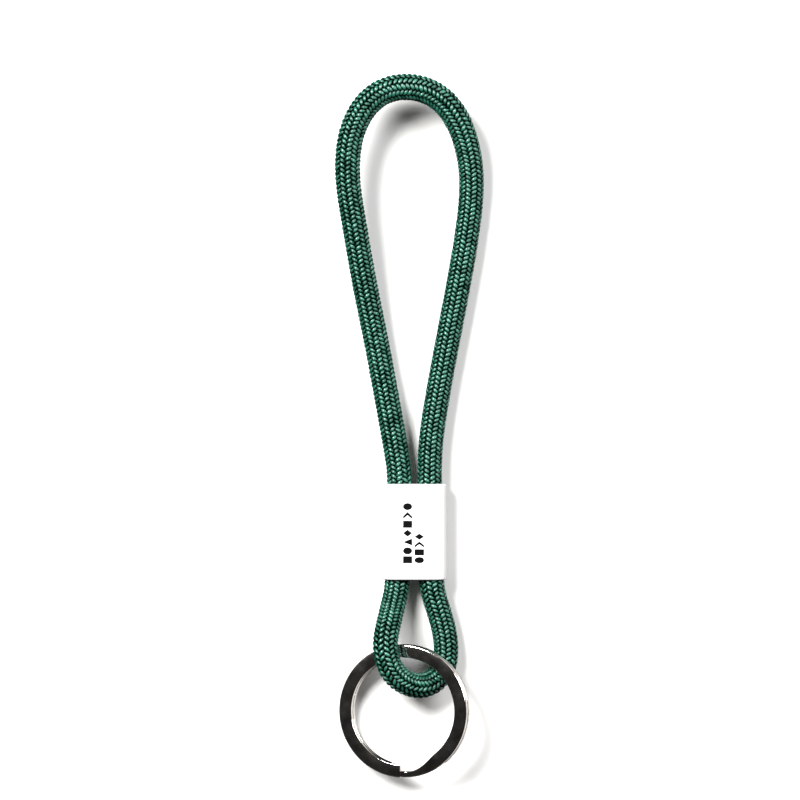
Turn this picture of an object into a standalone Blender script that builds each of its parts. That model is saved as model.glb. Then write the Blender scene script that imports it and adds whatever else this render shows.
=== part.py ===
"""Key lanyard: one braided cord, a two-part plastic clasp and a steel split ring.

The lanyard lies flat on its back on the plane Z = 0. +Y runs along its length, from the split
ring to the top of the hand loop, and +Z points out of its front. The origin is the centre of the
footprint. One cord makes both loops: a strand runs straight through the clasp's right channel,
and the cord's two heat-sealed ends meet inside the left channel. The cord is a braided sheath
around a core of straight yarns. Where a loop leaves the clasp, the cord's bend is a hinge across
both strands, so each loop is its own pair of solids, with rounded ends centred on that hinge.
"""

import math

import bmesh
import bpy
from mathutils import Vector

MM = 0.001

# Cord
CORD_RADIUS = 2.95 * MM
SHEATH_WALL = 1.05 * MM
GAP = 0.3 * MM
GRIPPED_RADIUS = 2.6 * MM
CORE_RADIUS = CORD_RADIUS - SHEATH_WALL - GAP
GRIPPED_CORE_RADIUS = GRIPPED_RADIUS - SHEATH_WALL - GAP
CORD_SIDES = 12
CORE_SIDES = 10
LOOP_STEP = 5.0 * MM
BIGHT_STEP = 3.0 * MM
SEAL_THICKNESS = 0.8 * MM

# Clasp
CLASP_CENTRE_X = 1.25 * MM
CLASP_WIDTH = 15.5 * MM
CLASP_THICKNESS = 7.4 * MM
CLASP_TOP_Y = -14.1 * MM
CLASP_BOTTOM_Y = -37.2 * MM
CLASP_SIDE_RADIUS = 3.2 * MM
CLASP_END_ROUND = 0.4 * MM
CHANNEL_RADIUS = 3.0 * MM
TOOTH_HEIGHT = 0.12 * MM
TOOTH_HALF_WIDTH = 0.6 * MM
TEETH = 5
LEFT_CHANNEL_X = (-2.3 * MM, -2.75 * MM)
RIGHT_CHANNEL_X = (4.8 * MM, 5.15 * MM)
MIDDLE_Z = CLASP_THICKNESS / 2
CORD_ENDS_Y = -26.0 * MM

# Split ring
RING_OUTER_RADIUS = 16.0 * MM
RING_WIRE_WIDTH = 3.1 * MM
RING_WIRE_THICKNESS = 1.4 * MM
RING_COIL_GAP = 0.08 * MM
RING_EDGE_CHAMFER = 0.22 * MM
RING_JOG_WIDTH = 1.4 * MM
RING_TILT = math.radians(16.5)
RING_X = -1.25 * MM
RING_Y = -68.7 * MM
RING_STATION = math.radians(6)
FRONT_END_ANGLE = math.radians(-93.7)
JOG_START_ANGLE = math.radians(-53.5)
JOG_END_ANGLE = math.radians(-91.5)
BACK_END_ANGLE = math.radians(-51.0)

# Colours
CORD_GREEN = (0.012, 0.155, 0.080)
CORE_GREEN = (0.010, 0.110, 0.060)
SEAL_GREEN = (0.008, 0.070, 0.040)
CLASP_WHITE = (0.86, 0.86, 0.85)
STEEL = (0.62, 0.61, 0.60)

# Hinges
HINGE_OFFSET = CORD_RADIUS + GAP
HAND_HINGE = Vector((CLASP_CENTRE_X, CLASP_TOP_Y + HINGE_OFFSET, MIDDLE_Z))
KEY_HINGE = Vector((CLASP_CENTRE_X, CLASP_BOTTOM_Y - HINGE_OFFSET, MIDDLE_Z))
RING_HINGE = Vector((1.6, -68.7, 6.8)) * MM

# Centreline of the hand loop, from the left strand at its hinge, over the arch, to the right
# strand at its hinge. The left strand and the arch spring clear of the surface.
HAND_LOOP_ROUTE = [
    (-2.55, -10.85, 3.70), (-3.40, -5.00, 3.35), (-5.40, 6.10, 3.05), (-8.10, 20.60, 3.20),
    (-11.00, 35.10, 5.30), (-13.50, 49.50, 7.70), (-14.60, 56.70, 8.60), (-14.90, 62.30, 9.20),
    (-14.40, 67.80, 9.45), (-12.75, 73.10, 9.50), (-10.45, 76.85, 9.50), (-7.50, 79.45, 9.45),
    (-3.90, 80.95, 9.30), (0.00, 81.25, 8.95), (3.90, 80.45, 8.55), (7.30, 78.55, 8.10),
    (10.10, 75.65, 7.50), (12.15, 72.05, 6.60), (13.75, 67.40, 5.30), (14.70, 62.30, 4.20),
    (14.90, 56.70, 3.40), (14.30, 49.50, 3.02), (12.00, 35.10, 3.00), (9.25, 20.60, 3.00),
    (6.60, 6.10, 3.05), (5.10, -5.00, 3.40), (4.85, -10.85, 3.70),
]

# Centreline of the key loop, from the left strand at its hinge, over the ring's wire, round the
# bight inside the ring, under the wire, to the right strand at its hinge.
KEY_LOOP_ROUTE = [
    (-3.30, -40.45, 3.70), (-4.15, -44.20, 4.60), (-4.95, -47.40, 6.75), (-5.60, -50.40, 8.85),
    (-5.80, -53.20, 9.85), (-5.30, -56.20, 9.95), (-4.00, -59.10, 9.40), (-1.70, -61.35, 8.30),
    (1.40, -62.55, 6.80), (4.60, -62.15, 5.20), (7.05, -60.30, 3.95), (8.40, -57.60, 3.40),
    (8.80, -54.30, 3.15), (8.55, -50.90, 3.02), (7.80, -47.40, 3.10), (6.85, -44.20, 3.40),
    (5.75, -40.45, 3.70),
]


def clear_scene():
    for old in list(bpy.data.objects):
        bpy.data.objects.remove(old, do_unlink=True)


def make_material(name, colour, roughness, metallic=0.0):
    material = bpy.data.materials.new(name)
    material.use_nodes = True
    shader = material.node_tree.nodes["Principled BSDF"]
    shader.inputs["Base Color"].default_value = (*colour, 1.0)
    shader.inputs["Roughness"].default_value = roughness
    shader.inputs["Metallic"].default_value = metallic
    material.diffuse_color = (*colour, 1.0)
    return material


def loft(name, rings, colour, roughness, metallic=0.0, hollow=False, sharp_angle=40):
    """Skin a row of equal rings. A solid gets an end face on its first and last ring, and a
    hollow body joins its last ring back to its first."""
    bm = bmesh.new()
    loops = [[bm.verts.new(point) for point in ring] for ring in rings]
    pairs = list(zip(loops, loops[1:]))
    if hollow:
        pairs.append((loops[-1], loops[0]))
    for near, far in pairs:
        for i in range(len(near)):
            j = (i + 1) % len(near)
            bm.faces.new((near[i], near[j], far[j], far[i]))
    if not hollow:
        bm.faces.new(loops[0])
        bm.faces.new(loops[-1])
    bmesh.ops.recalc_face_normals(bm, faces=bm.faces)
    mesh = bpy.data.meshes.new(name)
    bm.to_mesh(mesh)
    bm.free()
    mesh.shade_smooth()
    mesh.set_sharp_from_angle(angle=math.radians(sharp_angle))
    body = bpy.data.objects.new(name, mesh)
    body.data.materials.append(make_material(name, colour, roughness, metallic))
    bpy.context.collection.objects.link(body)
    return body


def make_pivot(name, place, parent=None):
    """An empty on a joint's axis, kept upright so that its place is a plain offset."""
    pivot = bpy.data.objects.new(name, None)
    pivot.empty_display_size = 5 * MM
    bpy.context.collection.objects.link(pivot)
    pivot.location = place
    if parent:
        pivot.parent = parent
        pivot.location = place - parent.location
    return pivot


def smooth_route(route, step):
    """Points about a step apart on the cubic spline through the route's own points."""
    knots = [Vector(point) * MM for point in route]
    spans = [(b - a).length for a, b in zip(knots, knots[1:])]
    slopes = spline_slopes(knots, spans)
    dense = []
    for i, span in enumerate(spans):
        for k in range(20):
            dense.append(hermite(knots[i], knots[i + 1], slopes[i], slopes[i + 1], span, k / 20))
    dense.append(knots[-1])
    return even_points(dense, step)


def spline_slopes(knots, spans):
    """Slopes that make the spline's bend continuous, by a forward and a backward sweep. The end
    slopes follow the first and last chords."""
    first = (knots[1] - knots[0]) / spans[0]
    last = (knots[-1] - knots[-2]) / spans[-1]
    sweep = [(0.0, first)]
    for i in range(1, len(knots) - 1):
        before, after = spans[i - 1], spans[i]
        pull = ((knots[i] - knots[i - 1]) * after / before
                + (knots[i + 1] - knots[i]) * before / after) * 3
        pivot = 2 * (before + after) - after * sweep[-1][0]
        sweep.append((before / pivot, (pull - sweep[-1][1] * after) / pivot))
    slopes = [last]
    for ratio, part in reversed(sweep[1:]):
        slopes.append(part - slopes[-1] * ratio)
    slopes.append(first)
    return slopes[::-1]


def hermite(a, b, slope_a, slope_b, span, t):
    return (a * (2 * t ** 3 - 3 * t ** 2 + 1) + slope_a * span * (t ** 3 - 2 * t ** 2 + t)
            + b * (3 * t ** 2 - 2 * t ** 3) + slope_b * span * (t ** 3 - t ** 2))


def even_points(dense, step):
    lengths = [0.0]
    for a, b in zip(dense, dense[1:]):
        lengths.append(lengths[-1] + (b - a).length)
    count = max(1, round(lengths[-1] / step))
    points, i = [], 0
    for k in range(count + 1):
        target = lengths[-1] * k / count
        while i < len(dense) - 2 and lengths[i + 1] < target:
            i += 1
        share = (target - lengths[i]) / (lengths[i + 1] - lengths[i])
        points.append(dense[i].lerp(dense[i + 1], min(share, 1.0)))
    return points


def path_frames(points):
    """A point, a direction along the path and a side vector for each point, without twist."""
    frames = []
    side = Vector((0, 0, 1))
    for i, point in enumerate(points):
        ahead = points[min(i + 1, len(points) - 1)]
        behind = points[max(i - 1, 0)]
        along = (ahead - behind).normalized()
        side = (side - along * side.dot(along)).normalized()
        frames.append((point, along, side))
    return frames


def ring_at(frame, radius, sides, shift=0.0):
    """A regular polygon around a frame, shifted along the path."""
    point, along, side = frame
    other = along.cross(side)
    centre = point + along * shift
    turns = [math.tau * k / sides for k in range(sides)]
    return [centre + (side * math.cos(turn) + other * math.sin(turn)) * radius for turn in turns]


def round_end(frame, direction):
    """Rings of a ball of the cord's radius, from its equator out to the sheath's rim."""
    reach = math.acos((CORD_RADIUS - SHEATH_WALL + GAP / 2) / CORD_RADIUS)
    angles = [reach * k / 3 for k in (1, 2, 3)]
    return [ring_at(frame, CORD_RADIUS * math.cos(a), CORD_SIDES,
                    direction * CORD_RADIUS * math.sin(a)) for a in angles]


def make_loop(name, route, step, hinge, pivot):
    """Sheath and core of a loop whose two ends are rounded about one hinge."""
    frames = path_frames(smooth_route(route, step))
    outside = (round_end(frames[0], -1)[::-1] + [ring_at(f, CORD_RADIUS, CORD_SIDES) for f in frames]
               + round_end(frames[-1], 1))
    bore = CORD_RADIUS - SHEATH_WALL
    rim = CORD_RADIUS * math.sqrt(1 - ((bore + GAP / 2) / CORD_RADIUS) ** 2)
    inside = ([ring_at(frames[0], bore, CORD_SIDES, -rim)]
              + [ring_at(f, bore, CORD_SIDES) for f in frames]
              + [ring_at(frames[-1], bore, CORD_SIDES, rim)])
    core = ([ring_at(frames[0], CORE_RADIUS, CORE_SIDES, -rim)]
            + [ring_at(f, CORE_RADIUS, CORE_SIDES) for f in frames]
            + [ring_at(frames[-1], CORE_RADIUS, CORE_SIDES, rim)])
    for body in (loft(name + "_sheath", outside + inside[::-1], CORD_GREEN, 0.6, hollow=True),
                 loft(name + "_core", core, CORE_GREEN, 0.8)):
        for vertex in body.data.vertices:
            vertex.co -= hinge
        body.parent = pivot


def make_strand(name, start, end):
    """Sheath and core of a straight stretch gripped in a channel of the clasp."""
    frames = path_frames([start, end])
    outside = [ring_at(f, GRIPPED_RADIUS, CORD_SIDES) for f in frames]
    inside = [ring_at(f, GRIPPED_RADIUS - SHEATH_WALL, CORD_SIDES) for f in frames]
    core = [ring_at(f, GRIPPED_CORE_RADIUS, CORE_SIDES) for f in frames]
    loft(name + "_sheath", outside + inside[::-1], CORD_GREEN, 0.6, hollow=True)
    loft(name + "_core", core, CORE_GREEN, 0.8)


def channel_point(channel_x, y):
    """The place on a channel's axis at a height along the clasp."""
    share = (CLASP_TOP_Y - y) / (CLASP_TOP_Y - CLASP_BOTTOM_Y)
    return Vector((channel_x[0] + (channel_x[1] - channel_x[0]) * share, y, MIDDLE_Z))


def make_gripped_cord():
    """The strand in the right channel, and the two tails and their sealed ends in the left."""
    make_strand("through_strand", channel_point(RIGHT_CHANNEL_X, CLASP_TOP_Y),
                channel_point(RIGHT_CHANNEL_X, CLASP_BOTTOM_Y))
    for name, mouth_y, away in (("upper", CLASP_TOP_Y, 1), ("lower", CLASP_BOTTOM_Y, -1)):
        seal_face = CORD_ENDS_Y + away * GAP / 2
        seal_back = seal_face + away * SEAL_THICKNESS
        make_strand(name + "_tail", channel_point(LEFT_CHANNEL_X, mouth_y),
                    channel_point(LEFT_CHANNEL_X, seal_back + away * GAP))
        frames = path_frames([channel_point(LEFT_CHANNEL_X, seal_back),
                              channel_point(LEFT_CHANNEL_X, seal_face)])
        rings = [ring_at(frames[0], GRIPPED_RADIUS, CORD_SIDES),
                 ring_at(frames[0], GRIPPED_RADIUS, CORD_SIDES, SEAL_THICKNESS * 0.5),
                 ring_at(frames[1], GRIPPED_RADIUS * 0.88, CORD_SIDES)]
        loft(name + "_end_seal", rings, SEAL_GREEN, 0.35)


def clasp_stations():
    """Heights along the clasp with the rounding of its ends and its channels' tooth height."""
    stations = [(0.0, CLASP_END_ROUND, 0.0), (CLASP_END_ROUND * 0.3, CLASP_END_ROUND * 0.3, 0.0),
                (CLASP_END_ROUND, 0.0, 0.0)]
    length = CLASP_TOP_Y - CLASP_BOTTOM_Y
    pitch = length / (TEETH + 1)
    for k in range(1, TEETH + 1):
        stations += [(pitch * k - TOOTH_HALF_WIDTH, 0.0, 0.0), (pitch * k, 0.0, TOOTH_HEIGHT),
                     (pitch * k + TOOTH_HALF_WIDTH, 0.0, 0.0)]
    stations += [(length - d, inset, tooth) for d, inset, tooth in stations[2::-1]]
    return [(CLASP_TOP_Y - d, inset, tooth) for d, inset, tooth in stations]


def shell_section(y, inset, tooth, face):
    """Outline of one shell at one height: its rounded outside, then the two half channels.
    The face is +1 on the front shell and -1 on the back one."""
    section = []
    corner = CLASP_SIDE_RADIUS - inset
    half_width = CLASP_WIDTH / 2 - inset
    half_height = CLASP_THICKNESS / 2 - inset
    parting = GAP / 2
    section.append((CLASP_CENTRE_X + half_width, parting))
    for side in (1, -1):
        for k in range(7):
            turn = math.radians(15 * k)
            if side < 0:
                turn = math.pi / 2 - turn
            section.append((CLASP_CENTRE_X + side * (half_width - corner + corner * math.cos(turn)),
                            half_height - corner + corner * math.sin(turn)))
    section.append((CLASP_CENTRE_X - half_width, parting))
    radius = CHANNEL_RADIUS - tooth
    dip = math.asin(parting / radius)
    for channel_x in (LEFT_CHANNEL_X, RIGHT_CHANNEL_X):
        centre = channel_point(channel_x, y).x
        for k in range(11):
            turn = math.pi - dip - (math.pi - 2 * dip) * k / 10
            section.append((centre + radius * math.cos(turn), radius * math.sin(turn)))
    return [Vector((x, y, MIDDLE_Z + face * z)) for x, z in section]


def make_clasp():
    for name, face in (("clasp_front_shell", 1), ("clasp_back_shell", -1)):
        rings = [shell_section(y, inset, tooth, face) for y, inset, tooth in clasp_stations()]
        loft(name, rings, CLASP_WHITE, 0.35, sharp_angle=30)


def smoothstep(t):
    t = min(max(t, 0.0), 1.0)
    return t * t * (3 - 2 * t)


def ring_level(angle):
    """Height of the wire's middle above the ring's middle plane. The wire leaves the front
    coil's level over the jog and comes to the back coil's."""
    coil = (RING_WIRE_THICKNESS + RING_COIL_GAP) / 2
    jog_start = JOG_START_ANGLE - math.tau
    jog_end = JOG_END_ANGLE - math.tau
    return coil * (1 - 2 * smoothstep((jog_start - angle) / (jog_start - jog_end)))


def ring_wire_width(angle):
    """The wire is cut back from its inner edge where it jogs between the coils."""
    jog_start = JOG_START_ANGLE - math.tau
    jog_end = JOG_END_ANGLE - math.tau
    narrow = min(smoothstep((jog_start - angle) / math.radians(27)),
                 smoothstep((angle - jog_end + math.radians(16)) / math.radians(12)))
    return RING_WIRE_WIDTH + (RING_JOG_WIDTH - RING_WIRE_WIDTH) * narrow


def wire_section(angle):
    """Rectangle with chamfered corners, in the plane through the ring's axis at an angle."""
    width = ring_wire_width(angle)
    half = RING_WIRE_THICKNESS / 2
    level = ring_level(angle)
    outer = RING_OUTER_RADIUS
    inner = outer - width
    c = RING_EDGE_CHAMFER
    corners = [(outer, half - c), (outer - c, half), (inner + c, half), (inner, half - c),
               (inner, c - half), (inner + c, -half), (outer - c, -half), (outer, c - half)]
    return [Vector((r * math.cos(angle), r * math.sin(angle), level + z)) for r, z in corners]


def make_ring(pivot):
    """Flat wire wound clockwise for nearly two turns, tilted so that its right side is up."""
    last_angle = BACK_END_ANGLE - 2 * math.tau
    count = math.ceil((FRONT_END_ANGLE - last_angle) / RING_STATION)
    angles = [FRONT_END_ANGLE + (last_angle - FRONT_END_ANGLE) * k / count
              for k in range(count + 1)]
    ring = loft("split_ring", [wire_section(a) for a in angles], STEEL, 0.12, 1.0)
    half_height = RING_WIRE_THICKNESS + RING_COIL_GAP / 2
    low_edge = RING_OUTER_RADIUS - RING_EDGE_CHAMFER
    lift = low_edge * math.sin(RING_TILT) + half_height * math.cos(RING_TILT)
    ring.parent = pivot
    ring.location = Vector((RING_X, RING_Y, lift)) - RING_HINGE
    ring.rotation_euler = (0.0, -RING_TILT, 0.0)


clear_scene()
hand_pivot = make_pivot("hand_loop_pivot", HAND_HINGE)
key_pivot = make_pivot("key_loop_pivot", KEY_HINGE)
ring_pivot = make_pivot("ring_pivot", RING_HINGE, key_pivot)
make_clasp()
make_gripped_cord()
make_loop("hand_loop", HAND_LOOP_ROUTE, LOOP_STEP, HAND_HINGE, hand_pivot)
make_loop("key_loop", KEY_LOOP_ROUTE, BIGHT_STEP, KEY_HINGE, key_pivot)
make_ring(ring_pivot)
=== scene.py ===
"""Looks of the key lanyard: a real braid of 24 yarns, a moulded clasp and a polished split ring."""

import math

import bmesh
import bpy
import numpy as np
from mathutils import Matrix, Vector


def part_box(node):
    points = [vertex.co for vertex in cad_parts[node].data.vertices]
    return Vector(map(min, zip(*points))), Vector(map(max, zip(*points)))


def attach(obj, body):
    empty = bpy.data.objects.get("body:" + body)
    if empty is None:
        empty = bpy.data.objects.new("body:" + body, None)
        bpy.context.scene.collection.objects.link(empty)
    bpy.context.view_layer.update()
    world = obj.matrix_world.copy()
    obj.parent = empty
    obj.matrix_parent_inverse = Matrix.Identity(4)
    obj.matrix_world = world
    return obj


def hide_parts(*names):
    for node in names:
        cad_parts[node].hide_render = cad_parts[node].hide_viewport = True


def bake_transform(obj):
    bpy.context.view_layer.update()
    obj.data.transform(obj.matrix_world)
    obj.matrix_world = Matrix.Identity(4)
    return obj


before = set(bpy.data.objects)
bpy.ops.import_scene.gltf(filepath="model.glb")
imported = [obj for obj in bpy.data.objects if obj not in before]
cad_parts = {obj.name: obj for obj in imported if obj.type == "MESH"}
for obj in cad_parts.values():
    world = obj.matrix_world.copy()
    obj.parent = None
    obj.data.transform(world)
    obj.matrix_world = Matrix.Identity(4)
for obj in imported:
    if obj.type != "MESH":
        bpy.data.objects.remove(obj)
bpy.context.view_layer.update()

MM = 0.001

# Cord
YARNS_EACH_WAY = 12
LAY = 12.9 * MM
CREST_RADIUS = 3.06 * MM
YARN_WIDTH = 0.84 * MM
YARN_PINCH = 0.54
YARN_PINCH_DEPTH = 0.7
YARN_THICKNESS = 0.56 * MM
WEAVE_DEPTH = 0.42 * MM
WEAVE_SHARPNESS = 1.0
YARN_SIDES = 8
POINTS_PER_TURN = 60
CORE_RADIUS = 1.80 * MM
CORE_SIDES = 24
CORE_STEP = 1.5 * MM
CORE_RIDGE = 0.06
GRIP_REACH = 3.0 * MM
GRIP_WIDTH_SCALE = 1.03
GRIP_HEIGHT_SCALE = 0.93
ARCH_LOW = 58.0 * MM
ARCH_HIGH = 76.0 * MM
ARCH_WIDTH_SCALE = 1.06
WANDER_STEP = 1.1 * MM
WANDER_DEPTH = 0.05 * MM
YARN_SWELL = 0.10
CUT_INSIDE = 4.0 * MM
SPLINE_POINTS = 60
CORD_SAMPLES = 1600
PATH_POINTS = 200
WANDER_SEED = 31
SHADE_SEED = 7

# Clasp, as its two shells' boxes give it
FRONT_LOW, FRONT_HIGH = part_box("clasp_front_shell")
BACK_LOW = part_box("clasp_back_shell")[0]
CLASP_X = (FRONT_LOW.x + FRONT_HIGH.x) / 2
CLASP_WIDTH = FRONT_HIGH.x - FRONT_LOW.x
CLASP_TOP = FRONT_HIGH.y
CLASP_BOTTOM = FRONT_LOW.y
CLASP_THICKNESS = FRONT_HIGH.z - BACK_LOW.z
MIDDLE_Z = CLASP_THICKNESS / 2

# Centreline of the whole cord: from its upper end in the clasp's left channel, round the hand
# loop, down the right channel, round the key loop, and back into the left channel.
UPPER_TAIL = [(-2.53, -25.60, 3.70), (-2.41, -20.00, 3.70)]
HAND_LOOP = [
    (-2.55, -10.85, 3.70), (-3.40, -5.00, 3.35), (-5.40, 6.10, 3.05), (-8.10, 20.60, 3.20),
    (-11.00, 35.10, 5.30), (-13.50, 49.50, 7.70), (-14.60, 56.70, 8.60), (-14.90, 62.30, 9.20),
    (-14.40, 67.80, 9.45), (-12.75, 73.10, 9.50), (-10.45, 76.85, 9.50), (-7.50, 79.45, 9.45),
    (-3.90, 80.95, 9.30), (0.00, 81.25, 8.95), (3.90, 80.45, 8.55), (7.30, 78.55, 8.10),
    (10.10, 75.65, 7.50), (12.15, 72.05, 6.60), (13.75, 67.40, 5.30), (14.70, 62.30, 4.20),
    (14.90, 56.70, 3.40), (14.30, 49.50, 3.02), (12.00, 35.10, 3.00), (9.25, 20.60, 3.00),
    (6.60, 6.10, 3.05), (5.10, -5.00, 3.40), (4.85, -10.85, 3.70),
]
THROUGH_STRAND = [(4.85, -18.00, 3.70), (4.98, -25.60, 3.70), (5.10, -33.50, 3.70)]
KEY_LOOP = [
    (5.75, -40.45, 3.70), (6.85, -44.20, 3.40), (7.80, -47.40, 3.10), (8.55, -50.90, 3.02),
    (8.80, -54.30, 3.15), (8.40, -57.60, 3.40), (7.05, -60.30, 3.95), (4.60, -62.15, 5.20),
    (1.40, -62.55, 6.80), (-1.70, -61.35, 8.30), (-4.00, -59.10, 9.40), (-5.30, -56.20, 9.95),
    (-5.80, -53.20, 9.85), (-5.60, -50.40, 8.85), (-4.95, -47.40, 6.75), (-4.15, -44.20, 4.60),
    (-3.30, -40.45, 3.70),
]
LOWER_TAIL = [(-2.70, -33.50, 3.70), (-2.55, -26.40, 3.70)]
CORD_ROUTE = UPPER_TAIL + HAND_LOOP + THROUGH_STRAND + KEY_LOOP + LOWER_TAIL


def spline_through(route):
    """Fine points on the cubic spline with a continuous bend through the route's points."""
    knots = np.array(route) * MM
    spans = np.linalg.norm(np.diff(knots, axis=0), axis=1)
    count = len(knots)
    matrix, wanted = np.zeros((count, count)), np.zeros((count, 3))
    matrix[0, 0] = matrix[-1, -1] = 1
    wanted[0] = (knots[1] - knots[0]) / spans[0]
    wanted[-1] = (knots[-1] - knots[-2]) / spans[-1]
    for i in range(1, count - 1):
        before, after = spans[i - 1], spans[i]
        matrix[i, i - 1:i + 2] = after, 2 * (before + after), before
        wanted[i] = 3 * ((knots[i] - knots[i - 1]) * after / before
                         + (knots[i + 1] - knots[i]) * before / after)
    slopes = np.linalg.solve(matrix, wanted)
    points = []
    for i, span in enumerate(spans):
        t = np.linspace(0, 1, SPLINE_POINTS, endpoint=False)[:, None]
        points.append(knots[i] * (2 * t ** 3 - 3 * t ** 2 + 1)
                      + slopes[i] * span * (t ** 3 - 2 * t ** 2 + t)
                      + knots[i + 1] * (3 * t ** 2 - 2 * t ** 3)
                      + slopes[i + 1] * span * (t ** 3 - t ** 2))
    points.append(knots[-1:])
    return np.concatenate(points)


class CordLine:
    """The cord's centreline with a frame that doesn't twist, read at any length along it."""

    def __init__(self, route):
        dense = spline_through(route)
        walked = np.concatenate([[0], np.cumsum(np.linalg.norm(np.diff(dense, axis=0), axis=1))])
        self.length = walked[-1]
        self.along = np.linspace(0, self.length, CORD_SAMPLES)
        self.points = np.stack([np.interp(self.along, walked, dense[:, k]) for k in range(3)], 1)
        tangents = np.gradient(self.points, axis=0)
        self.tangents = tangents / np.linalg.norm(tangents, axis=1)[:, None]
        sides = [np.array([0.0, 0.0, 1.0])]
        for tangent in self.tangents:
            side = sides[-1] - tangent * (sides[-1] @ tangent)
            sides.append(side / np.linalg.norm(side))
        self.sides = np.array(sides[1:])

    def read(self, s):
        """Point, tangent, side and third direction at each length in s."""
        found = []
        for rows in (self.points, self.tangents, self.sides):
            found.append(np.stack([np.interp(s, self.along, rows[:, k]) for k in range(3)], -1))
        point, tangent, side = found
        tangent /= np.linalg.norm(tangent, axis=-1, keepdims=True)
        side -= tangent * (side * tangent).sum(-1, keepdims=True)
        side /= np.linalg.norm(side, axis=-1, keepdims=True)
        return point, tangent, side, np.cross(tangent, side)

    def lengths_at_height(self, y):
        """Lengths where the line crosses a height along the lanyard, in order."""
        crossing = np.nonzero(np.diff(np.sign(self.points[:, 1] - y)))[0]
        return [float(self.along[i]) for i in crossing]


CORD = CordLine(CORD_ROUTE)


def squeeze(points, s):
    """The clasp flattens the cord a little, and so does the tight bend at the loop's top: wider
    across the lanyard, thinner in depth."""
    centre = CORD.read(s)[0]
    y = centre[..., 1]
    bent = np.clip((y - ARCH_LOW) / (ARCH_HIGH - ARCH_LOW), 0, 1)[..., None]
    wider = 1 + bent * (np.array([ARCH_WIDTH_SCALE, ARCH_WIDTH_SCALE, 1]) - 1)
    points = centre + (points - centre) * wider
    inside = np.minimum(CLASP_TOP + GRIP_REACH - y, y - CLASP_BOTTOM + GRIP_REACH) / GRIP_REACH
    amount = np.clip(inside, 0, 1)[..., None]
    scale = 1 + amount * (np.array([GRIP_WIDTH_SCALE, 1, GRIP_HEIGHT_SCALE]) - 1)
    return centre + (points - centre) * scale


def braid_wave(turn):
    """How far a yarn stands out, from -1 to 1: over two yarns, then under two."""
    crossing = np.cos(YARNS_EACH_WAY / 2 * turn)
    return np.tanh(WEAVE_SHARPNESS * crossing) / math.tanh(WEAVE_SHARPNESS)


def yarn_tubes(start, end, way):
    """Vertices of the yarns that wind one way round the cord, as yarn, point, side."""
    count = max(8, round((end - start) / LAY * POINTS_PER_TURN))
    s = np.linspace(start, end, count)
    base = np.arange(YARNS_EACH_WAY) * math.tau / YARNS_EACH_WAY
    phase = 0.0 if way > 0 else math.pi / YARNS_EACH_WAY
    turn = base[:, None] + phase + way * math.tau * s[None, :] / LAY
    middle = CREST_RADIUS - YARN_THICKNESS / 2 - WEAVE_DEPTH
    height = way * braid_wave(turn)
    radius = middle + WEAVE_DEPTH * height
    # no two crests are quite alike
    knots = np.arange(start, end + WANDER_STEP, WANDER_STEP)
    random = np.random.default_rng(WANDER_SEED + way)
    rough = random.uniform(-1, 1, (2, YARNS_EACH_WAY, len(knots)))
    wander, swell = (np.array([np.interp(s, knots, row) for row in rows]) for rows in rough)
    radius = radius + WANDER_DEPTH * wander
    s = np.broadcast_to(s, turn.shape)
    point, _, side, third = CORD.read(s)
    outward = side * np.cos(turn)[..., None] + third * np.sin(turn)[..., None]
    centres = point + outward * radius[..., None]
    ahead = np.gradient(centres, axis=1)
    ahead /= np.linalg.norm(ahead, axis=-1, keepdims=True)
    across = np.cross(ahead, outward)
    across /= np.linalg.norm(across, axis=-1, keepdims=True)
    up = np.cross(across, ahead)
    angles = np.arange(YARN_SIDES) * math.tau / YARN_SIDES
    pinch = YARN_PINCH * np.minimum((1 - height) / YARN_PINCH_DEPTH, 1)
    half_width = YARN_WIDTH / 2 * (1 - pinch) * (1 + YARN_SWELL * swell)
    wide = (np.cos(angles)[None, None, :, None] * across[:, :, None, :]
            * half_width[..., None, None])
    high = np.sin(angles)[None, None, :, None] * up[:, :, None, :] * (YARN_THICKNESS / 2)
    tubes = centres[:, :, None, :] + wide + high
    level = (height[..., None] * WEAVE_DEPTH + 2 * WANDER_DEPTH * wander[..., None]
             + np.sin(angles) * YARN_THICKNESS / 2)
    share = (level / (WEAVE_DEPTH + YARN_THICKNESS / 2) + 1) / 2
    along = np.broadcast_to(ahead[:, :, None, :], tubes.shape)
    return squeeze(tubes, np.broadcast_to(s[..., None], tubes.shape[:3])), share, along


def tubes_mesh(name, tubes, share, along, offset=0):
    """One mesh of closed tubes, with how far along and round each yarn every vertex is, how far
    out in the braid it lies, and which way the yarn runs there."""
    yarns, count, sides = tubes.shape[:3]
    index = np.arange(yarns * count * sides).reshape(yarns, count, sides)
    near, far = index[:, :-1], index[:, 1:]
    quads = np.stack([near, np.roll(near, -1, 2), np.roll(far, -1, 2), far], -1).reshape(-1, 4)
    faces = quads.tolist() + index[:, 0, ::-1].tolist() + index[:, -1].tolist()
    mesh = bpy.data.meshes.new(name)
    mesh.from_pydata(tubes.reshape(-1, 3).tolist(), [], faces)
    mesh.shade_smooth()
    shade = np.random.default_rng(SHADE_SEED + offset).random(yarns)
    place = np.zeros((yarns, count, sides, 3))
    place[..., 0] = (np.arange(count) / POINTS_PER_TURN)[None, :, None]
    place[..., 1] = np.cos(np.arange(sides) * math.tau / sides)[None, None, :]
    place[..., 2] = shade[:, None, None]
    for label, kind, field, values in (("yarn_place", "FLOAT_VECTOR", "vector", place),
                                       ("yarn_height", "FLOAT", "value", share),
                                       ("yarn_along", "FLOAT_VECTOR", "vector", along)):
        attribute = mesh.attributes.new(label, kind, "POINT")
        attribute.data.foreach_set(field, values.astype(np.float32).ravel())
    return mesh


def link(name, mesh, material):
    obj = bpy.data.objects.new(name, mesh)
    bpy.context.collection.objects.link(obj)
    obj.data.materials.append(material)
    return obj


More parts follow.
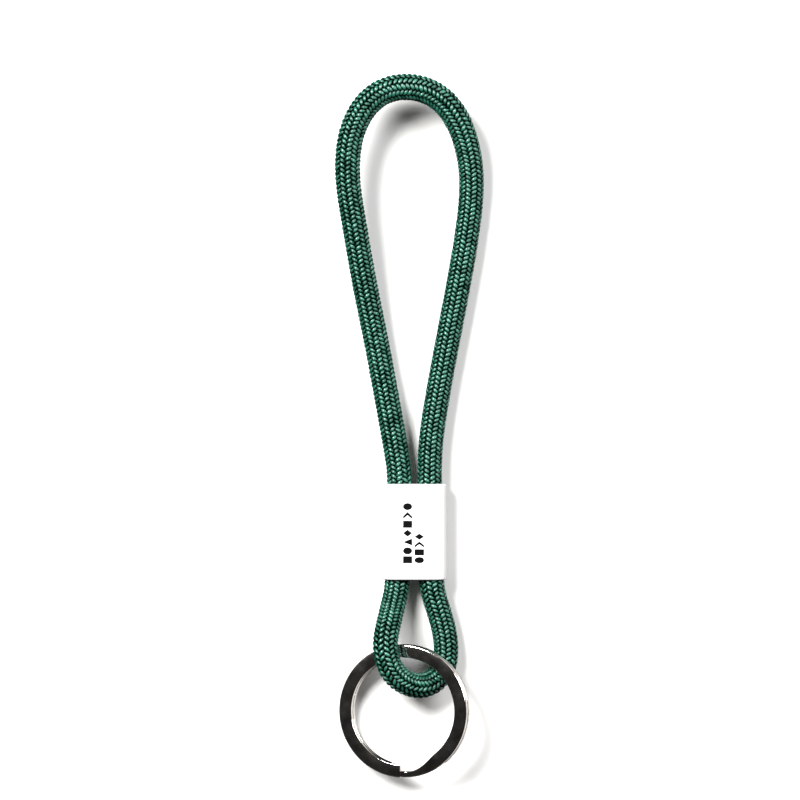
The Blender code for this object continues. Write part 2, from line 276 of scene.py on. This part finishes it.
def make_braid(name, start, end, material, parts=("both",)):
    """Yarns of one stretch of cord, all in one piece or in one piece for each way they wind."""
    made = []
    for part in parts:
        ways = {"both": (1, -1), "right_laid": (1,), "left_laid": (-1,)}[part]
        sets = [yarn_tubes(start, end, way) for way in ways]
        label = name if part == "both" else f"{name}_{part}"
        mesh = tubes_mesh(label, *(np.concatenate(s) for s in zip(*sets)), offset=ways[0])
        made.append(link(label, mesh, material))
    return made


def make_core(name, start, end, material):
    """The bundle of filler yarns inside the braid: a rod with a ridge for each yarn."""
    count = max(4, round((end - start) / CORE_STEP))
    s = np.linspace(start, end, count)
    angles = np.arange(CORE_SIDES) * math.tau / CORE_SIDES
    radius = CORE_RADIUS * (1 - CORE_RIDGE * (np.arange(CORE_SIDES) % 2))
    point, tangent, side, third = CORD.read(s)
    outward = (side[:, None, :] * np.cos(angles)[None, :, None]
               + third[:, None, :] * np.sin(angles)[None, :, None])
    tube = point[:, None, :] + outward * radius[None, :, None]
    tube = squeeze(tube, np.broadcast_to(s[:, None], tube.shape[:2]))[None]
    along = np.broadcast_to(tangent[None, :, None, :], tube.shape)
    mesh = tubes_mesh(name, tube, np.zeros(tube.shape[:3]), along)
    return link(name, mesh, material)


# ---------------------------------------------------------------------------- materials

class Tree:
    """Adds nodes to one node tree. Inputs are plain values or other nodes' outputs."""

    def __init__(self, tree):
        self.nodes, self.links = tree.nodes, tree.links

    def feed(self, node, inputs):
        for key, source in inputs.items():
            if isinstance(source, bpy.types.NodeSocket):
                self.links.new(source, node.inputs[key])
            else:
                node.inputs[key].default_value = source

    def add(self, kind, inputs=None, **settings):
        node = self.nodes.new(kind)
        for key, value in settings.items():
            setattr(node, key, value)
        self.feed(node, inputs or {})
        return node

    def attribute(self, name, output):
        return self.add("ShaderNodeAttribute", attribute_name=name).outputs[output]

    def place(self, output):
        return self.add("ShaderNodeTexCoord").outputs[output]

    def parts(self, vector):
        return self.add("ShaderNodeSeparateXYZ", {0: vector}).outputs

    def noise(self, vector, **inputs):
        return self.add("ShaderNodeTexNoise", {"Vector": vector, **inputs}).outputs["Fac"]

    def bump(self, height, strength, distance):
        return self.add("ShaderNodeBump", {"Height": height, "Strength": strength,
                                           "Distance": distance}).outputs["Normal"]

    def sums(self, operation, *terms):
        """One arithmetic node."""
        node = self.add("ShaderNodeMath", dict(enumerate(terms)), operation=operation)
        return node.outputs[0]

    def ranged(self, source, span, to=(0.0, 1.0), smooth=False):
        """A value carried from one range to another, held at both ends."""
        node = self.add("ShaderNodeMapRange", {"Value": source, "From Min": span[0],
                                               "From Max": span[1], "To Min": to[0],
                                               "To Max": to[1]})
        if smooth:
            node.interpolation_type = "SMOOTHSTEP"
        return node.outputs["Result"]

    def ramp(self, source, *stops):
        """Colour read off a ramp, from its stops in order as position and colour."""
        node = self.add("ShaderNodeValToRGB", {"Fac": source})
        elements = node.color_ramp.elements
        for element, (position, colour) in zip(elements, (stops[0], stops[-1])):
            element.position, element.color = position, (*colour, 1)
        for position, colour in stops[1:-1]:
            elements.new(position).color = (*colour, 1)
        return node.outputs["Color"]


def new_material(name):
    material = bpy.data.materials.new(name)
    material.use_nodes = True
    tree = Tree(material.node_tree)
    return material, tree, tree.nodes["Principled BSDF"]


def yarn_material():
    material, tree, shader = new_material("green_yarn")
    # filaments run along the yarn, with a slight twist
    along, around, shade = tree.parts(tree.attribute("yarn_place", "Vector"))
    twist = tree.sums("MULTIPLY_ADD", along, 3.0, around)
    lines = tree.add("ShaderNodeCombineXYZ", {"X": tree.sums("MULTIPLY", twist, 4.0), "Z": shade})
    filament = tree.noise(lines.outputs[0], Scale=1.6, Detail=2.0)
    # painted shade and highlight: the yarns' colour is paled as a painted highlight where they
    # stand out and darkened to nearly black as painted shade in the pits between them; the filament
    # and patch noise are the yarns' own uneven tone
    height = tree.attribute("yarn_height", "Fac")
    patches = tree.noise(tree.place("Object"), Scale=520.0, Detail=3.0)
    height_and_filament = tree.sums("MULTIPLY_ADD", filament, 0.25, height)
    painted_shade_and_tone = tree.sums("MULTIPLY_ADD", patches, 0.15, height_and_filament)
    level = tree.sums("DIVIDE", painted_shade_and_tone, 1.2)
    tree.feed(shader, {
        "Base Color": tree.ramp(level, (0.66, (0.0002, 0.003, 0.002)),
                                (0.79, (0.0002, 0.009, 0.005)), (0.88, (0.0015, 0.052, 0.033)),
                                (1.00, (0.034, 0.188, 0.134))),
        "Roughness": tree.ranged(height, (0.65, 1.0), (0.85, 0.36)),
        "IOR": 1.6,
        "Specular IOR Level": 0.95,
        # painted shade: the gloss's tint turns black in the pits, so they show no reflection there
        "Specular Tint": tree.ramp(level, (0.82, (0.0, 0.0, 0.0)), (0.95, (0.97, 1.0, 0.98))),
        "Anisotropic": 0.75,
        "Anisotropic Rotation": 0.25,
        "Tangent": tree.attribute("yarn_along", "Vector"),
        "Normal": tree.bump(filament, 0.6, 0.06 * MM),
    })
    return material


def core_material():
    material, tree, shader = new_material("filler_yarn")
    # painted shade: the filler is coloured near black so that the gaps in the braid over it read as
    # deep shadow
    grain = tree.noise(tree.place("Object"), Scale=900.0)
    tree.feed(shader, {
        "Base Color": tree.ramp(grain, (0.0, (0.001, 0.012, 0.008)),
                                (1.0, (0.003, 0.035, 0.022))),
        "Roughness": 0.8,
    })
    return material


def plastic_material():
    material, tree, shader = new_material("white_plastic")
    where = tree.place("Object")
    cloud = tree.noise(where, Scale=180.0, Detail=4.0)
    grain = tree.noise(where, Scale=3500.0)
    tree.feed(shader, {
        "Base Color": tree.ramp(cloud, (0.0, (0.845, 0.850, 0.850)), (1.0, (0.895, 0.895, 0.890))),
        "Roughness": tree.ranged(cloud, (0.0, 1.0), (0.30, 0.42)),
        "Specular IOR Level": 0.45,
        "Normal": tree.bump(grain, 0.08, 0.02 * MM),
    })
    return material


def ink_material():
    material, tree, shader = new_material("black_ink")
    grain = tree.noise(tree.place("Object"), Scale=2500.0)
    tree.feed(shader, {
        "Base Color": tree.ramp(grain, (0.0, (0.004, 0.004, 0.005)), (1.0, (0.012, 0.012, 0.013))),
        "Roughness": 0.5,
        "Specular IOR Level": 0.05,
    })
    return material


def steel_material():
    material, tree, shader = new_material("polished_steel")
    where = tree.place("Object")
    smudge = tree.noise(where, Scale=330.0, Detail=8.0, Roughness=0.65)
    scratch = tree.noise(where, Scale=1400.0, Detail=3.0)
    tree.feed(shader, {
        "Base Color": tree.ramp(smudge, (0.3, (0.55, 0.52, 0.53)), (0.7, (0.98, 0.95, 0.92))),
        "Metallic": 1.0,
        "Roughness": tree.ranged(smudge, (0.3, 0.7), (0.09, 0.13)),
        "Normal": tree.bump(scratch, 0.04, 0.02 * MM),
    })
    return material


# ---------------------------------------------------------------------------- camera and light

CAMERA_DISTANCE = 1.5
VIEW_WIDTH = 192.8 * MM
VIEW_CENTRE = (-2.3 * MM, 6.1 * MM)
LAMP_DISTANCE = 1.5
SKY = 0.33
HORIZON = 0.02
WALL_HEIGHTS = (0.24, 0.44)
WALL_TOWARD = (0.6, 0.8)
WALL_SWEEP = (-0.6, 0.7)
WALL_LIGHT = (0.10, 0.6)
ROOM_LIGHT = 0.026
TABLE_SWEEP = (0.22, 0.52)
TABLE_LIGHT = 0.9
WORLD_COLOUR = (1.0, 0.98, 0.93, 1)
FLOOR_SIZE = 3.0
FLOOR_Z = -0.10 * MM
PAPER_COLOUR = (0.90, 0.90, 0.90, 1)


def make_camera():
    data = bpy.data.cameras.new("camera")
    camera = bpy.data.objects.new("camera", data)
    bpy.context.collection.objects.link(camera)
    data.sensor_width = 36.0
    data.lens = data.sensor_width * CAMERA_DISTANCE / VIEW_WIDTH
    camera.location = (*VIEW_CENTRE, CAMERA_DISTANCE + MIDDLE_Z)
    data.clip_start, data.clip_end = 0.01, 20.0
    bpy.context.scene.camera = camera


def make_lamp(name, azimuth, elevation, width, power, colour):
    """A round soft lamp, aimed at the lanyard's middle."""
    azimuth, elevation = math.radians(azimuth), math.radians(elevation)
    toward = Vector((math.cos(azimuth) * math.cos(elevation),
                     math.sin(azimuth) * math.cos(elevation), math.sin(elevation)))
    data = bpy.data.lights.new(name, "AREA")
    data.shape = "DISK"
    data.size = width
    data.energy = power
    data.color = colour
    lamp = bpy.data.objects.new(name, data)
    bpy.context.collection.objects.link(lamp)
    lamp.location = toward * LAMP_DISTANCE
    lamp.rotation_mode = "QUATERNION"
    lamp.rotation_quaternion = toward.to_track_quat("Z", "Y")


def make_world():
    """A soft sky for matt surfaces. Polished ones mirror a dark room with a pale wall low behind
    the lanyard, and the pale table at its right."""
    world = bpy.data.worlds.new("studio")
    bpy.context.scene.world = world
    world.use_nodes = True
    tree = Tree(world.node_tree)
    x, y, z = tree.parts(tree.place("Generated"))
    above = tree.ranged(z, (-HORIZON, HORIZON), smooth=True)
    sky = tree.sums("MULTIPLY", above, tree.ranged(y, (-1.0, 1.0), (0.02, SKY)))
    toward = tree.sums("MULTIPLY_ADD", x, WALL_TOWARD[0],
                       tree.sums("MULTIPLY", y, WALL_TOWARD[1]))
    wall = tree.sums("MULTIPLY", above, tree.ranged(z, WALL_HEIGHTS, (1.0, 0.0), smooth=True))
    wall = tree.sums("MULTIPLY", wall, tree.ranged(toward, WALL_SWEEP, WALL_LIGHT, smooth=True))
    room = tree.sums("ADD", wall, ROOM_LIGHT)
    below = tree.ranged(z, (0.0, -0.1))
    table = tree.sums("MULTIPLY", below,
                      tree.ranged(x, TABLE_SWEEP, (0.0, TABLE_LIGHT), smooth=True))
    mirrored = tree.sums("ADD", room, table)
    glossy = tree.add("ShaderNodeLightPath").outputs["Is Glossy Ray"]
    seen = tree.add("ShaderNodeMix", {"Factor": glossy, "A": sky, "B": mirrored},
                    data_type="FLOAT")
    tree.feed(tree.nodes["Background"], {"Strength": seen.outputs["Result"],
                                         "Color": WORLD_COLOUR})


def mesh_from(name, bm):
    mesh = bpy.data.meshes.new(name)
    bm.to_mesh(mesh)
    bm.free()
    return mesh


def make_floor():
    bm = bmesh.new()
    bmesh.ops.create_grid(bm, x_segments=1, y_segments=1, size=FLOOR_SIZE)
    mesh = mesh_from("floor", bm)
    floor = bpy.data.objects.new("floor", mesh)
    bpy.context.collection.objects.link(floor)
    floor.location.z = FLOOR_Z
    floor.visible_diffuse = False
    floor.visible_glossy = False
    material, tree, shader = new_material("paper")
    tree.feed(shader, {"Base Color": PAPER_COLOUR, "Roughness": 0.9})
    mesh.materials.append(material)


# ---------------------------------------------------------------------------- clasp

PARTING = 0.05 * MM
CORNER_RADIUS = 3.2 * MM
CORNER_STEPS = 12
END_ROUND = 0.45 * MM
END_STEPS = 6
CHANNEL_RADIUS = 3.02 * MM
CHANNEL_STEPS = 20
MOUTH_FLARE = 0.12 * MM
LEFT_CHANNEL = (-2.30 * MM, -2.75 * MM)
RIGHT_CHANNEL = (4.80 * MM, 5.15 * MM)
TEETH = 5
TOOTH_HALF_LENGTH = 0.6 * MM
TOOTH_HEIGHT = 0.15 * MM
CLASP_SHARP_ANGLE = 35

# Printed mark, in mm: X of the row, Y of its first shape, pitch, width and height of a shape
MARK_ROWS = [
    ((-0.48, -32.30, 2.13, 1.66, 2.15),
     ("block", "disc", "wedge", "diamond", "block", "chevron", "disc")),
    ((2.35, -32.40, 1.88, 1.46, 2.25), ("disc", "block", "chevron", "diamond")),
]
MARK_CORNERS = {
    "block": [(-1, -1), (1, -1), (1, 1), (-1, 1)],
    "wedge": [(-1, -1), (1, -1), (0, 1)],
    "diamond": [(0, -1), (1, 0), (0, 1), (-1, 0)],
    "chevron": [(-1, -1), (-0.25, -1), (1, 0), (-0.25, 1), (-1, 1), (0.1, 0)],
}
MARK_DISC_SIDES = 28
MARK_SUNK = 0.020 * MM
MARK_PROUD = 0.015 * MM


def lofted(name, sections, sharp_angle):
    """Closed mesh through a row of sections that have as many points each."""
    bm = bmesh.new()
    loops = [[bm.verts.new(point) for point in section] for section in sections]
    for near, far in zip(loops, loops[1:]):
        for i in range(len(near)):
            j = (i + 1) % len(near)
            bm.faces.new((near[i], near[j], far[j], far[i]))
    bm.faces.new(loops[0])
    bm.faces.new(loops[-1])
    bmesh.ops.recalc_face_normals(bm, faces=bm.faces)
    mesh = mesh_from(name, bm)
    mesh.shade_smooth()
    mesh.set_sharp_from_angle(angle=math.radians(sharp_angle))
    return mesh


def clasp_outline(inset, face):
    """Half of the clasp's rounded outside at one place along it, as X and Z over its middle."""
    corner = CORNER_RADIUS - inset
    half_width = CLASP_WIDTH / 2 - inset
    half_height = CLASP_THICKNESS / 2 - inset
    outline = [(half_width, PARTING)]
    turns = [math.radians(90 * k / CORNER_STEPS) for k in range(CORNER_STEPS + 1)]
    for side in (1, -1):
        for turn in turns[::side]:
            outline.append((side * (half_width - corner + corner * math.cos(turn)),
                            half_height - corner + corner * math.sin(turn)))
    outline.append((-half_width, PARTING))
    return [(CLASP_X + x, face * z) for x, z in outline]


def channel_arc(channel, share, radius, face):
    """Half of a cord channel, at a share of the way along the clasp."""
    centre = channel[0] + (channel[1] - channel[0]) * share
    dip = math.asin(PARTING / radius)
    arc = []
    for k in range(CHANNEL_STEPS + 1):
        turn = math.pi - dip - (math.pi - 2 * dip) * k / CHANNEL_STEPS
        arc.append((centre + radius * math.cos(turn), face * radius * math.sin(turn)))
    return arc


def clasp_heights():
    """Place along the clasp, inset of its rounded end, and radius taken off its channels."""
    rows = []
    for k in range(END_STEPS + 1):
        turn = math.radians(90 * k / END_STEPS)
        rows.append((END_ROUND * (1 - math.cos(turn)), END_ROUND * (1 - math.sin(turn)),
                     -MOUTH_FLARE * (1 - k / END_STEPS)))
    length = CLASP_TOP - CLASP_BOTTOM
    pitch = length / (TEETH + 1)
    middle = []
    for k in range(1, TEETH + 1):
        middle += [(pitch * k - TOOTH_HALF_LENGTH, 0.0, 0.0), (pitch * k, 0.0, TOOTH_HEIGHT),
                   (pitch * k + TOOTH_HALF_LENGTH, 0.0, 0.0)]
    return rows + middle + [(length - d, inset, off) for d, inset, off in rows[::-1]]


def make_shell(name, face, material):
    length = CLASP_TOP - CLASP_BOTTOM
    sections = []
    for down, inset, off in clasp_heights():
        section = clasp_outline(inset, face)
        for channel in (LEFT_CHANNEL, RIGHT_CHANNEL):
            section += channel_arc(channel, down / length, CHANNEL_RADIUS - off, face)
        sections.append([(x, CLASP_TOP - down, MIDDLE_Z + z) for x, z in section])
    return link(name, lofted(name, sections, CLASP_SHARP_ANGLE), material)


def mark_shape(kind, wide, tall):
    """Outline of one plain shape of the printed mark, about its own middle."""
    turns = [math.tau * k / MARK_DISC_SIDES for k in range(MARK_DISC_SIDES)]
    corners = MARK_CORNERS.get(kind) or [(math.cos(t), math.sin(t)) for t in turns]
    return [(x * wide / 2, y * tall / 2) for x, y in corners]


def make_mark(material):
    """A generic printed mark: two rows of plain shapes, read with the clasp turned upright."""
    bm = bmesh.new()
    for numbers, kinds in MARK_ROWS:
        x, start_y, pitch, wide, tall = (number * MM for number in numbers)
        for k, kind in enumerate(kinds):
            corners = [bm.verts.new((x - v, start_y + k * pitch + u, CLASP_THICKNESS - MARK_SUNK))
                       for u, v in mark_shape(kind, wide, tall)]
            grown = bmesh.ops.extrude_face_region(bm, geom=[bm.faces.new(corners)])
            moved = [v for v in grown["geom"] if isinstance(v, bmesh.types.BMVert)]
            bmesh.ops.translate(bm, verts=moved, vec=(0, 0, MARK_SUNK + MARK_PROUD))
    bmesh.ops.recalc_face_normals(bm, faces=bm.faces)
    return link("clasp_mark", mesh_from("clasp_mark", bm), material)


# ---------------------------------------------------------------------------- split ring

RING_OUTER_RADIUS = 16.0 * MM
RING_WIRE_WIDTH = 3.1 * MM
RING_WIRE_THICKNESS = 1.50 * MM
RING_COIL_GAP = 0.16 * MM
RING_JOG_WIDTH = 1.4 * MM
RING_OUTER_EDGE = 0.40 * MM
RING_INNER_EDGE = 0.20 * MM
RING_TILT = math.radians(16.5)
RING_CENTRE = Vector((-1.25, -68.7, 0)) * MM
FRONT_END = math.radians(-92.6)
JOG_START = math.radians(-53.5)
JOG_END = math.radians(-91.5)
BACK_END = math.radians(-51.0)
JOG_TAPER_IN = math.radians(29.5)
JOG_TAPER_OUT = math.radians(12)
JOG_TAPER_OUT_REACH = math.radians(16)
RING_STEP = math.radians(1.5)
RING_RESTS_ON = 15.78 * MM
EDGE_STEPS = 5
RING_SHARP_ANGLE = 50


def smoothstep(t):
    t = min(max(t, 0.0), 1.0)
    return t * t * (3 - 2 * t)


def wire_section(angle):
    """Flat wire with rounded edges, in the plane through the ring's axis."""
    start, end = JOG_START - math.tau, JOG_END - math.tau
    coil = (RING_WIRE_THICKNESS + RING_COIL_GAP) / 2
    level = coil * (1 - 2 * smoothstep((start - angle) / (start - end)))
    taper = min(max((start - angle) / JOG_TAPER_IN, 0.0), 1.0)
    narrow = min((taper + smoothstep(taper)) / 2,
                 smoothstep((angle - end + JOG_TAPER_OUT_REACH) / JOG_TAPER_OUT))
    width = RING_WIRE_WIDTH + (RING_JOG_WIDTH - RING_WIRE_WIDTH) * narrow
    half = RING_WIRE_THICKNESS / 2
    outer, inner = RING_OUTER_RADIUS, RING_OUTER_RADIUS - width
    section = []
    for quarter, (wall, edge) in enumerate([(outer, RING_OUTER_EDGE), (inner, RING_INNER_EDGE),
                                            (inner, RING_INNER_EDGE), (outer, RING_OUTER_EDGE)]):
        r = wall - edge if wall == outer else wall + edge
        z = half - edge if quarter < 2 else edge - half
        for k in range(EDGE_STEPS + 1):
            turn = math.radians(90 * quarter + 90 * k / EDGE_STEPS)
            section.append((r + edge * math.cos(turn), level + z + edge * math.sin(turn)))
    return [Vector((r * math.cos(angle), r * math.sin(angle), z)) for r, z in section]


def make_ring(material):
    """The wire from its front end round to its back end, tilted and resting on its low edge."""
    last = BACK_END - 2 * math.tau
    count = math.ceil((FRONT_END - last) / RING_STEP)
    half = RING_WIRE_THICKNESS + RING_COIL_GAP / 2
    low = RING_RESTS_ON * math.sin(RING_TILT) + half * math.cos(RING_TILT)
    centre = RING_CENTRE + Vector((0, 0, low))
    place = Matrix.Translation(centre) @ Matrix.Rotation(-RING_TILT, 4, "Y")
    sections = []
    for k in range(count + 1):
        angle = FRONT_END + (last - FRONT_END) * k / count
        sections.append([place @ point for point in wire_section(angle)])
    mesh = lofted("split_ring_wire", sections, RING_SHARP_ANGLE)
    return link("split_ring_wire", mesh, material)


# ---------------------------------------------------------------------------- assembly

make_camera()
green, filler = yarn_material(), core_material()

up_in = CORD.lengths_at_height(CLASP_TOP - CUT_INSIDE)
down_in = CORD.lengths_at_height(CLASP_BOTTOM + CUT_INSIDE)
HAND = (up_in[0], up_in[1])
KEY = (down_in[0], down_in[1])


def make_loop(name, span, sheath_node, core_node):
    braid = make_braid(name + "_braid", *span, green, ("right_laid", "left_laid"))
    core = make_core(name + "_filler", *span, filler)
    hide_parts(sheath_node)
    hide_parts(core_node)
    for piece in (*braid, core):
        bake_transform(piece)
    s = np.linspace(span[0], span[1], PATH_POINTS)
    path = CORD.read(s)[0].tolist()


make_loop("hand_loop", HAND,
          "hand_loop_sheath", "hand_loop_core")
make_loop("key_loop", KEY,
          "key_loop_sheath", "key_loop_core")

for name, span in (("upper_tail", (0.0, HAND[0])), ("through_strand", (HAND[1], KEY[0])),
                   ("lower_tail", (KEY[1], CORD.length))):
    braid = make_braid(name + "_braid", *span, green)[0]
    core = make_core(name + "_filler", *span, filler)
    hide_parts(name + "_sheath")
    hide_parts(name + "_core")
    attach(braid, "clasp")
    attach(core, "clasp")

white, ink, steel = plastic_material(), ink_material(), steel_material()
for name, face, node in (("clasp_front", 1, "clasp_front_shell"),
                         ("clasp_back", -1, "clasp_back_shell")):
    shell = make_shell(name, face, white)
    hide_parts(node)
    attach(shell, "clasp")
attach(make_mark(ink), "clasp")
ring = make_ring(steel)
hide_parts("split_ring")
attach(ring, "ring")
# the end seals take the filler's near-black colour, which is painted shade as on the core
for node in ("upper_end_seal", "lower_end_seal"):
    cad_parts[node].material_slots[0].material = filler

make_lamp("key", 138, 48.0, 0.66, 38.0, (1.0, 0.99, 0.97))
make_lamp("side", 30.0, 43.0, 0.80, 16.0, (1.0, 1.0, 1.0))
make_world()
make_floor()
bpy.context.scene.view_settings.view_transform = "Standard"
bpy.context.scene.view_settings.look = "Medium High Contrast"
